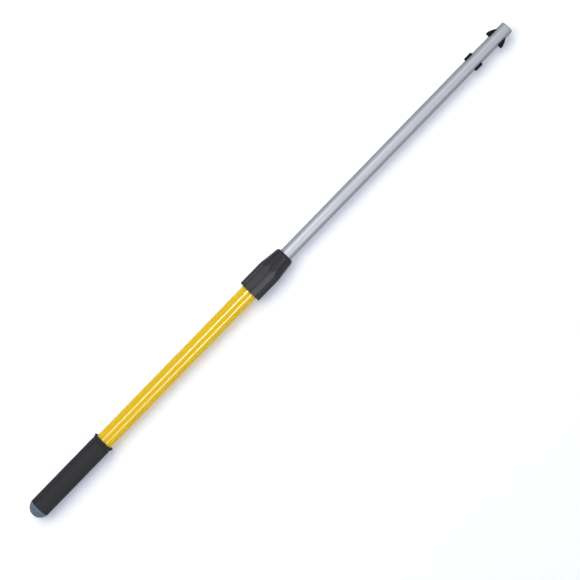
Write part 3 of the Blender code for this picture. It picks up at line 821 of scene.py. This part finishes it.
def ridge_radius(x, end):
    """Radius of the collar between its flutes, at a distance from the handle's end."""
    if x <= TAPER_START:
        return RIDGE_RADIUS
    if x <= TAPER_END:
        share = (x - TAPER_START) / (TAPER_END - TAPER_START)
        bent = (1 - TAPER_BEND) * share + TAPER_BEND * share * share
        return RIDGE_RADIUS + (NOSE_RADIUS - RIDGE_RADIUS) * bent
    share = clamp((x - TAPER_END) / (end - TAPER_END))
    end_radius = MOUTH_RADIUS + 0.9 * MM
    return end_radius + (NOSE_RADIUS - end_radius) * sqrt(1 - share * share)


def flute_width(x):
    """How far a flute has opened into a scallop, from 0 to 1, and the share of its pitch it takes."""
    opening = clamp((x - TAPER_START + MM) / OPENING_LENGTH)
    return opening, FLUTE_SHARE + (SCALLOP_SHARE - FLUTE_SHARE) * opening


def collar_radius(x, from_middle, end):
    """Radius at a distance from the handle's end and a share of the half pitch from a flute's middle."""
    opening, share = flute_width(x)
    depth = FLUTE_DEPTH + (SCALLOP_DEPTH - FLUTE_DEPTH) * smooth(opening)
    depth *= smooth((x - COLLAR_RIM) / RIM_FADE) * smooth((end - x) / (end - TAPER_END))
    hollow = 1 - (from_middle / share) ** 2
    hollow = (hollow + sqrt(hollow * hollow + EDGE_ROUNDING**2)) / 2
    radius = ridge_radius(x, end)
    if from_middle > share:
        pad_edge = cos(radians(HALF_PITCH * (1 - share)))
        radius *= pad_edge / cos(radians(HALF_PITCH * (1 - from_middle)))
    return radius - depth * hollow


def collar_marks(x):
    """Points across one flute and its two half pads, closer together at the pads' edges."""
    _, share = flute_width(x)
    half = [share * t for t in HOLLOW_MARKS] + [share + (1 - share) * t for t in PAD_MARKS]
    return half + [2 - mark for mark in reversed(half[1:-1])]


def collar_outside(start, end):
    """Distances along the collar's outside, each with how far its rounded rim draws in there."""
    places = []
    for i in range(6):
        turn = pi / 2 * i / 5
        places.append((start + RIM_EDGE * (1 - cos(turn)) * 0.9, RIM_EDGE * (1 - sin(turn))))
    x = start + RIM_EDGE
    while x < end - 0.05 * MM:
        places.append((x, 0))
        if x > TAPER_END - MM:
            x += 0.35 * MM
        elif TAPER_START - 3 * MM < x < TAPER_START + 13 * MM:
            x += 0.6 * MM
        else:
            x += 1.5 * MM
    return [*places, (end, 0)]


def collar_inside(start, end):
    """(distance, radius) points along the collar's bore, from its mouth to its rim; None is the cam."""
    shoulder = span("lock_core")[0] - HANDLE_END + CORE_SKIRT_LENGTH + 0.3 * MM
    core_end = span("lock_core")[1] - HANDLE_END
    clip_start = span("retaining_clip")[0] - HANDLE_END
    shoe_start, shoe_end = (corner.x - HANDLE_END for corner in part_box("lock_shoe_1"))
    return [
        (end, MOUTH_RADIUS + 0.35 * MM),
        (end - 0.35 * MM, MOUTH_RADIUS),
        (TAPER_END - 0.7 * MM, MOUTH_RADIUS),
        (TAPER_END - 0.8 * MM, CORE_RADIUS + 0.2 * MM),
        (core_end + 0.9 * MM, CORE_RADIUS + 0.2 * MM),
        (core_end + 0.6 * MM, CORE_RADIUS + 1.5 * MM),
        (clip_start - 0.4 * MM, CORE_RADIUS + 1.5 * MM),
        (clip_start - 0.5 * MM, CORE_RADIUS + 0.4 * MM),
        (shoe_end + 2.8 * MM, CORE_RADIUS + 0.4 * MM),
        (shoe_end + 2.4 * MM, None),
        (shoe_start - 1.4 * MM, None),
        (shoulder, CUP_BORE),
        (start + 0.5 * MM, CUP_BORE),
        (start, CUP_BORE + 0.5 * MM),
    ]


def make_lock_collar(material):
    """Twist collar: flat pads between flutes that open into scallops on the taper; cam inside."""
    start, end = (corner.x - HANDLE_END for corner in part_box("lock_collar"))
    rings = []
    for x, inset in collar_outside(start, end):
        marks = [(HALF_PITCH * (2 * flute + mark), abs(mark if mark <= 1 else 2 - mark))
                 for flute in range(FLUTES) for mark in collar_marks(x)]
        rings.append((x, [(a, collar_radius(x, from_middle, end) - inset) for a, from_middle in marks]))
    angles = [a for a, _ in rings[0][1]]
    for x, radius in collar_inside(start, end):
        rings.append((x, [(a, cam_radius(a) if radius is None else radius) for a in angles]))

    bm = bmesh.new()
    loops = []
    for x, points in rings:
        turns = [(radians(a), r) for a, r in points]
        places = [(HANDLE_END + x, -r * sin(turn), AXIS_Z + r * cos(turn)) for turn, r in turns]
        loops.append([bm.verts.new(place) for place in places])
    bridge(bm, loops + loops[:1])
    collar = to_object("fluted_collar", bm, radians(50))
    dress(collar, material, "collar", "collar_plastic", "lock_collar")


def make_wiper_ring(material):
    """Rubber ring with a fine lip that wipes the inner tube."""
    start, end, radius = span("wiper_ring")
    middle = (start + end) / 2
    lip = TUBE_RADIUS + 0.15 * MM
    root = RUNNING_BORE + 0.5 * MM
    outline = [(start, root), (start, radius), (end, radius), (end, root), (middle + 0.9 * MM, root),
               (middle + 0.3 * MM, lip), (middle - 0.2 * MM, lip), (middle - 0.9 * MM, root)]
    wiper = turned("wiper_lip_ring", soften(outline, 0.15 * MM))
    dress(wiper, material, "collar", "seal_rubber", "wiper_ring")


def make_lock_shoes(material):
    """Brake shoes with rounded ends: round inside on the tube, spiral outside on the cam."""
    low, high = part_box("lock_shoe_1")
    sides = [SHOE_HALF_WIDTH * (2 * i / SHOE_STEPS - 1) for i in range(SHOE_STEPS + 1)]
    inner = [(y, sqrt(RUNNING_BORE**2 - y**2)) for y in sides]
    outer = []
    for y in reversed(sides):
        radius = cam_radius(-atan(y / CAM_RADIUS) * 180 / pi) - 0.3 * MM
        outer.append((y, sqrt(radius**2 - y**2)))
    outline = soften(inner + outer, 0.4 * MM, closed=False)
    middle = (inner[0][1] + outer[0][1]) / 2
    levels = (
        (low.x, SHOE_END_SHARE),
        (low.x + SHOE_CHAMFER, 1),
        (high.x - SHOE_CHAMFER, 1),
        (high.x, SHOE_END_SHARE),
    )
    for number, angle in enumerate(SHOE_ANGLES, 1):
        bm = bmesh.new()
        loops = []
        for x, share in levels:
            places = [(x, y * share, AXIS_Z + middle + (z - middle) * share) for y, z in outline]
            loops.append([bm.verts.new(place) for place in places])
        cap_ends(bm, loops)
        bridge(bm, loops)
        shoe = turn_about_axis(to_object(f"brake_shoe_{number}", bm), angle)
        dress(shoe, material, f"shoe_{number}", "nylon", f"lock_shoe_{number}")


# ---------------------------------------------------------------- sliding tube

# Places of the buttons and catches are back from the tip
TUBE_RADIUS = 9.525 * MM
INNER_BORE = 8.325 * MM
TIP_ROLL = 1.7 * MM
TIP_DROP = 1.0 * MM
BUTTON_MIDDLE = 68.5 * MM
BUTTON_LENGTH = 13.8 * MM
CATCH_BACK = 28.0 * MM
CATCH_KNEE = 24.8 * MM
CATCH_NOSE = 18.8 * MM
CATCH_FRONT = 13.8 * MM
LATCH_HALF_WIDTH = 4.6 * MM
RIVET_RADIUS = 1.2 * MM

GREASE_GROOVES = (0.3, 0.65)
GREASE_GROOVE_DEPTH = 0.35 * MM
PLUG_FLANGE = 3 * MM
PLUG_WALL = 2.2 * MM
WINDOW_MARGIN = 0.6 * MM
WINDOW_FRONT_MARGIN = 1.0 * MM
WINDOW_CORNER = 1.4 * MM


def make_slide_bush(material):
    """Rear bearing with two grease grooves."""
    start, end, radius = span("slide_bush")
    outline = [(start, RUNNING_BORE), (start, radius)]
    for share in GREASE_GROOVES:
        groove, floor = start + (end - start) * share, radius - GREASE_GROOVE_DEPTH
        outline += [(groove, radius), (groove + 0.3 * MM, floor)]
        outline += [(groove + 0.9 * MM, floor), (groove + 1.2 * MM, radius)]
    outline += [(end, radius), (end, RUNNING_BORE)]
    bush = turned("slide_bush_ring", soften(outline, 0.3 * MM))
    dress(bush, material, "slider", "nylon", "slide_bush")


def make_inner_plug(material):
    """Hollow plug with a flange, in the inner tube's end."""
    start, end, radius = span("inner_plug")
    stem = INNER_BORE - 0.35 * MM
    bore = stem - PLUG_WALL
    flange = start + PLUG_FLANGE
    outline = [(start, bore), (start, radius), (flange, radius)]
    outline += [(flange, stem), (end, stem), (end, bore)]
    plug = turned("inner_plug_moulding", soften(outline, 0.3 * MM))
    dress(plug, material, "extension", "core_plastic", "inner_plug")


def make_stop_ring(material):
    """Band on the inner tube that stops it at the guide bush."""
    start, end, radius = span("stop_ring")
    stop = ring("stop_ring_band", start, end, TUBE_RADIUS + 0.3 * MM, radius, 0.3 * MM)
    dress(stop, material, "extension", "satin_aluminium", "stop_ring")


def make_inner_tube(material):
    """Thin drawn tube with a rolled tip and a round-cornered window for each button and catch."""
    start, end, radius = span("inner_tube")
    last = end - TIP_ROLL
    loops = [*stations(start, last, 54), last]
    rolled = [radians(9 * i) for i in range(1, 11)]
    outline = [(start, INNER_BORE + 0.3 * MM), (start, radius - 0.3 * MM), (start + 0.3 * MM, radius)]
    outline += [(x, radius) for x in loops]
    outline += [(last + TIP_ROLL * sin(a), radius - TIP_DROP * (1 - cos(a))) for a in rolled]
    outline += [(end, INNER_BORE + 0.05 * MM), (end - 0.1 * MM, INNER_BORE)]
    outline += [(x, INNER_BORE) for x in reversed(loops)]
    tube = turned("aluminium_tube", outline)
    windows = (
        ("button", BUTTON_MIDDLE + BUTTON_LENGTH / 2, BUTTON_MIDDLE - BUTTON_LENGTH / 2),
        ("catch", CATCH_BACK, CATCH_FRONT),
    )
    cutters = []
    for kind, back, front in windows:
        x_range = (from_tip(back) - WINDOW_MARGIN, from_tip(front) + WINDOW_FRONT_MARGIN)
        for side, name in SIDES:
            window = rounded_block(f"{kind}_window_{name}", x_range, LATCH_HALF_WIDTH + WINDOW_MARGIN,
                                   (4 * MM, 14 * MM), WINDOW_CORNER)
            cutters.append(turn_about_axis(window, -side * pi / 2))
    cutters.append(rivet_drill("inner_rivet_hole", "latch_block_rivet_left"))
    combine(tube, cutters, "DIFFERENCE")
    dress(tube, material, "extension", "satin_aluminium", "inner_tube")


# ---------------------------------------------------------------- quick-connect latches

# Heights are above the tube's surface, an arm's two faces are from the axis, and the turn is in degrees
LATCH_PIVOT = 120 * MM
PIVOT_OFFSET = 3.4 * MM
LATCH_TURN = 3.4
ARM_INSIDE = 0.3 * MM
ARM_OUTSIDE = 6.8 * MM
ARM_TAIL = 5 * MM
BUTTON_HEIGHT = 2.8 * MM
CATCH_HEIGHT = 5.5 * MM
CATCH_KNEE_HEIGHT = 5.0 * MM
CATCH_NOSE_HEIGHT = 3.0 * MM
SPRING_DISTANCE = 86 * MM
POCKET_RADIUS = 2.6 * MM
POCKET_FLOOR = 5.9 * MM

HEAD_BASE = ARM_OUTSIDE - 0.8 * MM
BUTTON_CORNER = 2.6 * MM
BUTTON_RIM = 1.5 * MM
BUTTON_CROWN = 0.5 * MM
LATCH_SMOOTH_ANGLE = radians(40)
PIN_HOLE_RADIUS = RIVET_RADIUS + HOLE_CLEARANCE
BLOCK_WEB = 6 * MM
SPRING_WIRE = 0.25 * MM
SPRING_STEPS = 78
STEPS_PER_TURN = 24


def bevel(piece, width):
    """Rounds a piece's edges."""
    modifier = piece.modifiers.new("bevel", "BEVEL")
    modifier.width = width
    modifier.segments = 5
    modifier.limit_method = "ANGLE"
    modifier.angle_limit = radians(30)
    bake_modifiers(piece)


def make_button_head(side, name):
    """Press pad: round-cornered, with a rounded edge and a slight crown."""
    half_x, half_z, corner = BUTTON_LENGTH / 2, LATCH_HALF_WIDTH, BUTTON_CORNER
    middle = from_tip(BUTTON_MIDDLE)
    rim_start = TUBE_RADIUS + BUTTON_HEIGHT - BUTTON_RIM
    levels = [(HEAD_BASE, 0.0)]
    for angle in (0, 20, 40, 60, 75, 86):
        rise = radians(angle)
        levels.append((rim_start + BUTTON_RIM * sin(rise), BUTTON_RIM * (1 - cos(rise))))
    bm = bmesh.new()
    loops = []
    for height, inset in levels:
        loop = []
        for x_side, z_side, turn in rounded_corners():
            x = x_side * (half_x - corner - 0.5 * inset) + (corner - inset) * cos(turn)
            z = z_side * (half_z - corner) + (corner - inset) * sin(turn)
            crown = BUTTON_CROWN * (z / half_z) ** 2 if inset else 0
            loop.append(bm.verts.new((middle + x, side * (height - crown), AXIS_Z + z)))
        loops.append(loop)
    bridge(bm, loops)
    bm.faces.new(loops[0])
    bmesh.ops.poke(bm, faces=[bm.faces.new(list(reversed(loops[-1])))])
    return to_object(f"button_head_{name}", bm, radians(60))


def arm_inside(distance):
    """Distance of an arm's inner face from the axis, this far back from the tip."""
    return ARM_INSIDE + (LATCH_PIVOT - distance) * sin(radians(LATCH_TURN))


def make_catch_head(side, name):
    """Barbed catch: upright back, then a top that bends down in two steps towards the tip."""
    back, knee, front = from_tip(CATCH_BACK), from_tip(CATCH_KNEE), from_tip(CATCH_FRONT)
    outline = [
        (back, HEAD_BASE),
        (back, TUBE_RADIUS + CATCH_HEIGHT),
        (knee, TUBE_RADIUS + CATCH_KNEE_HEIGHT + 0.25 * MM),
        (from_tip(CATCH_NOSE), TUBE_RADIUS + CATCH_NOSE_HEIGHT),
        (front - 0.6 * MM, TUBE_RADIUS + 0.35 * MM),
        (front, TUBE_RADIUS - 0.3 * MM),
        (front, arm_inside(CATCH_FRONT) + 0.05 * MM),
        (knee, HEAD_BASE),
    ]
    outline = [(x, side * y) for x, y in outline]
    head = plate(f"catch_head_{name}", outline, LATCH_HALF_WIDTH)
    bevel(head, 0.75 * MM)
    return head


def make_latch_arm(side, name, material):
    """One moulding: a springy bar on its pivot, with a press pad and a barbed catch."""
    pivot, tail = from_tip(LATCH_PIVOT), from_tip(LATCH_PIVOT + ARM_TAIL)
    front = from_tip(CATCH_FRONT)
    outline = [
        (tail, ARM_INSIDE),
        (pivot, ARM_INSIDE),
        (front, arm_inside(CATCH_FRONT)),
        (front, ARM_OUTSIDE),
        (pivot + MM, ARM_OUTSIDE),
        (tail, ARM_OUTSIDE - 1.2 * MM),
    ]
    outline = soften([(x, side * y) for x, y in outline], 0.3 * MM, closed=False)
    arm = plate(f"latch_moulding_{name}", outline, LATCH_HALF_WIDTH)
    heads = [make_button_head(side, name), make_catch_head(side, name)]
    combine(arm, heads, "UNION", LATCH_SMOOTH_ANGLE)
    y = side * PIVOT_OFFSET
    pin_hole = rod(f"arm_pin_hole_{name}", (pivot, y, -9 * MM), (pivot, y, 9 * MM), PIN_HOLE_RADIUS)
    x = from_tip(SPRING_DISTANCE)
    ends = (x, -side * 4 * MM, 0), (x, side * POCKET_FLOOR, 0)
    pocket = rod(f"arm_pocket_{name}", *ends, POCKET_RADIUS)
    combine(arm, [pin_hole, pocket], "DIFFERENCE", LATCH_SMOOTH_ANGLE)
    dress(arm, material, f"latch_{name}", "latch_plastic", f"latch_arm_{name}")


def make_latch_block(material):
    """Round carrier with the slot that the arms swing in."""
    start, end, radius = span("latch_block")
    outline = [(start, 0), (start, radius), (end, radius), (end, 0)]
    block = turned("latch_block_moulding", soften(outline, 0.4 * MM))
    slot = rounded_block("block_slot", (start + BLOCK_WEB, end + 10 * MM), LATCH_HALF_WIDTH + 0.3 * MM,
                         (-2 * radius, 2 * radius), 0.8 * MM)
    cutters = [turn_about_axis(slot, pi / 2)]
    x = from_tip(LATCH_PIVOT)
    for side, name in SIDES:
        y = side * PIVOT_OFFSET
        ends = (x, y, -2 * radius), (x, y, 2 * radius)
        cutters.append(rod(f"block_pin_hole_{name}", *ends, PIN_HOLE_RADIUS))
    cutters.append(rivet_drill("block_rivet_hole", "latch_block_rivet_left"))
    combine(block, cutters, "DIFFERENCE")
    dress(block, material, "extension", "latch_plastic", "latch_block")


def make_latch_pins(material):
    """Pivot pins of the arms, and the rivets that hold the block in the inner tube."""
    for side, name in SIDES:
        node = f"pivot_pin_{name}"
        low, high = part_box(node)
        x, y = (low.x + high.x) / 2, (low.y + high.y) / 2
        ends = (x, y, low.z - AXIS_Z), (x, y, high.z - AXIS_Z)
        dress(rod(f"{node}_rod", *ends, RIVET_RADIUS, 0.3 * MM), material, "extension", "steel", node)
        node = f"latch_block_rivet_{name}"
        rivet = side_rod(f"block_rivet_{name}_rod", node, side, RIVET_RADIUS, 0.3 * MM)
        dress(rivet, material, "extension", "steel", node)


def make_return_spring(material):
    """Coil spring between the arms, in two halves: each coils from the middle out towards its own arm.
    """
    low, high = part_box("return_spring")
    centre = (low + high) / 2
    coil = (high.x - low.x) / 2 - SPRING_WIRE
    half_length = (high.y - low.y) / 2 - SPRING_WIRE
    for side, name in SIDES:
        curve = bpy.data.curves.new(f"spring_half_{name}", "CURVE")
        curve.dimensions = "3D"
        curve.bevel_depth = SPRING_WIRE
        curve.bevel_resolution = 3
        curve.use_fill_caps = True
        spline = curve.splines.new("POLY")
        spline.points.add(SPRING_STEPS)
        for i, point in enumerate(spline.points):
            turn = side * tau * i / STEPS_PER_TURN
            along = side * half_length * i / SPRING_STEPS
            point.co = (*(centre + Vector((coil * cos(turn), along, coil * sin(turn)))), 1)
        coil_object = add_object(f"spring_half_{name}", curve)
        evaluated = coil_object.evaluated_get(bpy.context.evaluated_depsgraph_get())
        mesh = bpy.data.meshes.new_from_object(evaluated)
        bpy.data.objects.remove(coil_object, do_unlink=True)
        mesh.shade_smooth()
        mesh.materials.clear()
        mesh.materials.append(material)
        half = add_object(f"spring_{name}_half", mesh)
        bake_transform(half)
        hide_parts("return_spring")


def main():
    """Builds the studio and the pole."""
    make_camera()
    fill = make_lights()
    make_world()
    make_floor(fill)

    steel = bright_steel()
    nylon = natural_nylon()
    aluminium = satin_aluminium()
    collar_plastic = moulded_plastic(
        "charcoal_plastic", (0.0235, 0.0235, 0.028), (0.0325, 0.0325, 0.038), 0.40,
        worn=(0.06, 0.06, 0.066), specular=0.19)
    cap_plastic = moulded_plastic(
        "blue_grey_plastic", (0.100, 0.130, 0.165), (0.125, 0.160, 0.200), 0.42,
        grain_strength=0.10, worn=(0.24, 0.29, 0.34))
    latch_plastic = moulded_plastic(
        "black_plastic", (0.004, 0.004, 0.006), (0.008, 0.008, 0.011), 0.50,
        grain_strength=0.12, worn=(0.02, 0.02, 0.023), specular=0.08)
    core_plastic = moulded_plastic(
        "dark_grey_plastic", (0.018, 0.018, 0.020), (0.028, 0.028, 0.030), 0.42)
    seal = moulded_plastic(
        "seal_rubber", (0.012, 0.012, 0.013), (0.020, 0.020, 0.021), 0.6)

    make_end_cap(cap_plastic)
    make_grip(grip_rubber())
    make_outer_tube(yellow_paint())
    make_guide_bush(nylon)
    make_lock_core(core_plastic)
    make_core_rivets(steel)
    make_retaining_clip(steel)
    make_lock_collar(collar_plastic)
    make_wiper_ring(seal)
    make_lock_shoes(nylon)

    make_slide_bush(nylon)
    make_inner_plug(core_plastic)
    make_stop_ring(aluminium)
    make_inner_tube(aluminium)
    make_latch_block(latch_plastic)
    make_latch_pins(steel)
    for side, name in SIDES:
        make_latch_arm(side, name, latch_plastic)
    make_return_spring(steel)


main()
